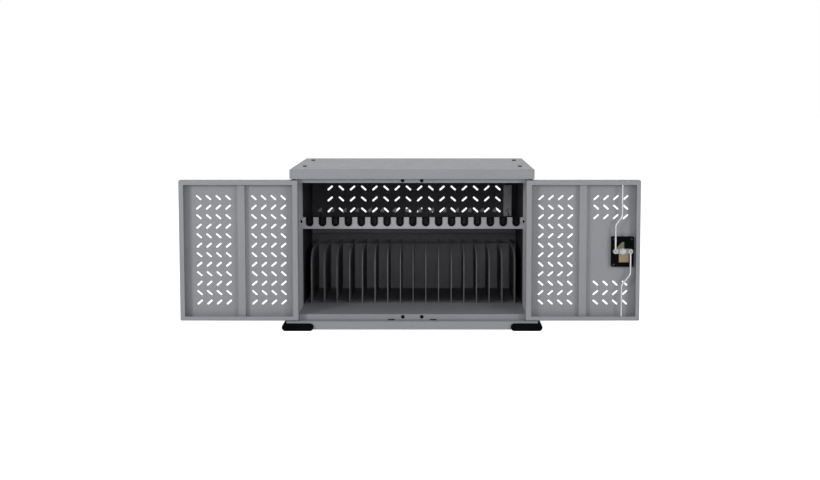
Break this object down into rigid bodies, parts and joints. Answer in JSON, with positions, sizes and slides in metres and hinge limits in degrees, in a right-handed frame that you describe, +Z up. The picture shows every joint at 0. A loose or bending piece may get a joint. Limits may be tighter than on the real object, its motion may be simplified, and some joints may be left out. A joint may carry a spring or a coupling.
{
  "type": "charging cabinet",
  "caption": "Steel charging cabinet with two slotted swing doors, a row of upright device bays, a cable comb over them and a rod lock on one door.",
  "frame": {"origin": "on the floor, under the middle of the carcass, with both doors swung open", "axes": "+X to the right seen from the front, +Y to the back, +Z up"},
  "size_m": [1.28, 0.4127, 0.4546],
  "materials": {
    "grey_powder_coat": "fine-textured mid-grey powder coat, satin",
    "charcoal_powder_coat": "matt charcoal powder coat",
    "black_powder_coat": "matt black powder coat",
    "divider_plastic": "moulded dark grey plastic, matt",
    "foot_rubber": "black rubber",
    "trim_rubber": "black edge trim",
    "clip_plastic": "pale plastic",
    "strip_plastic": "black plastic",
    "outlet_plastic": "dark plastic",
    "inlet_plastic": "black plastic",
    "switch_plastic": "black glossy plastic",
    "button_plastic": "red glossy plastic",
    "magnet_cap": "black capped magnet",
    "hinge_steel": "ground steel",
    "screw_steel": "zinc-plated steel",
    "bush_brass": "turned brass",
    "lock_black": "black painted steel, satin",
    "handle_black": "black coated die casting",
    "cylinder_brass": "dull tan brass",
    "plug_steel": "nickel-plated steel",
    "bright_steel": "bright zinc-plated steel",
    "rod_steel": "bright drawn steel"
  },
  "bodies": {
    "carcass": {"lid": "grey_powder_coat", "left_side_panel": "grey_powder_coat", "right_side_panel": "grey_powder_coat", "back_panel": "charcoal_powder_coat", "base_pan": "grey_powder_coat", "bottom_sill": "grey_powder_coat", "floor_tray": "black_powder_coat", "top_rail": "grey_powder_coat", "left_post": "grey_powder_coat", "right_post": "grey_powder_coat", "left_liner": "black_powder_coat", "right_liner": "black_powder_coat", "feet": "foot_rubber", "shelf": "charcoal_powder_coat", "cable_comb": "grey_powder_coat", "comb_trims": "trim_rubber", "divider_01": "divider_plastic", "divider_02": "divider_plastic", "divider_03": "divider_plastic", "divider_04": "divider_plastic", "divider_05": "divider_plastic", "divider_06": "divider_plastic", "divider_07": "divider_plastic", "divider_08": "divider_plastic", "divider_09": "divider_plastic", "divider_10": "divider_plastic", "divider_11": "divider_plastic", "divider_12": "divider_plastic", "divider_13": "divider_plastic", "divider_14": "divider_plastic", "divider_15": "divider_plastic", "divider_16": "divider_plastic", "divider_17": "divider_plastic", "divider_rail": "charcoal_powder_coat", "cable_clips": "clip_plastic", "power_strip": "strip_plastic", "strip_outlets": "outlet_plastic", "power_inlet": "inlet_plastic", "door_magnets": "magnet_cap", "hinge_pins": "hinge_steel", "back_screws": "screw_steel"},
    "rocker": {"rocker_switch": "switch_plastic"},
    "breaker": {"breaker_button": "button_plastic"},
    "left_door": {"left_door_pan": "grey_powder_coat", "left_door_stiffener": "grey_powder_coat", "left_hinge_bushes": "bush_brass"},
    "right_door": {"right_door_pan": "grey_powder_coat", "right_door_stiffener": "grey_powder_coat", "right_hinge_bushes": "bush_brass", "lock_housing": "lock_black", "lock_cylinder": "cylinder_brass", "lock_screws": "screw_steel", "lock_plate": "lock_black"},
    "key": {"key_plug": "plug_steel"},
    "lock_cam": {"lock_spindle": "bright_steel", "lock_handle": "handle_black", "cam_bar": "bright_steel", "cam_pins": "bright_steel"},
    "upper_lock_rod": {"upper_rod": "rod_steel"},
    "lower_lock_rod": {"lower_rod": "rod_steel"}
  },
  "joints": [
    {"name": "left_door_hinge", "type": "hinge", "parent": "carcass", "child": "left_door", "pos_m": [-0.321, -0.1875, 0.225], "axis": [0, 0, 1], "range_deg": [0, 180]},
    {"name": "right_door_hinge", "type": "hinge", "parent": "carcass", "child": "right_door", "pos_m": [0.321, -0.1875, 0.225], "axis": [0, 0, -1], "range_deg": [0, 180]},
    {"name": "handle_turn", "type": "hinge", "parent": "right_door", "child": "lock_cam", "pos_m": [0.5865, -0.19205, 0.222], "axis": [0, 1, 0], "range_deg": [0, 90]},
    {"name": "upper_rod_pivot", "type": "hinge", "parent": "lock_cam", "child": "upper_lock_rod", "pos_m": [0.5655, -0.1953, 0.222], "axis": [0, 1, 0], "range_deg": [-97, 0]},
    {"name": "lower_rod_pivot", "type": "hinge", "parent": "lock_cam", "child": "lower_lock_rod", "pos_m": [0.6075, -0.1953, 0.222], "axis": [0, 1, 0], "range_deg": [-97.5, 0]},
    {"name": "key_turn", "type": "hinge", "parent": "right_door", "child": "key", "pos_m": [0.59, -0.175, 0.201], "axis": [0, 1, 0], "range_deg": [0, 90]},
    {"name": "rocker_tilt", "type": "hinge", "parent": "carcass", "child": "rocker", "pos_m": [0.2925, 0.1983, 0.3349], "axis": [-1, 0, 0], "range_deg": [0, 16]},
    {"name": "breaker_push", "type": "slide", "parent": "carcass", "child": "breaker", "axis": [0, -1, 0], "range_m": [0, 0.0025], "stiffness_N_per_m": 400}
  ],
  "couplings": [
    {"joint": "upper_rod_pivot", "follows": "handle_turn", "ratio": -1.075},
    {"joint": "lower_rod_pivot", "follows": "handle_turn", "ratio": -1.0806}
  ]
}
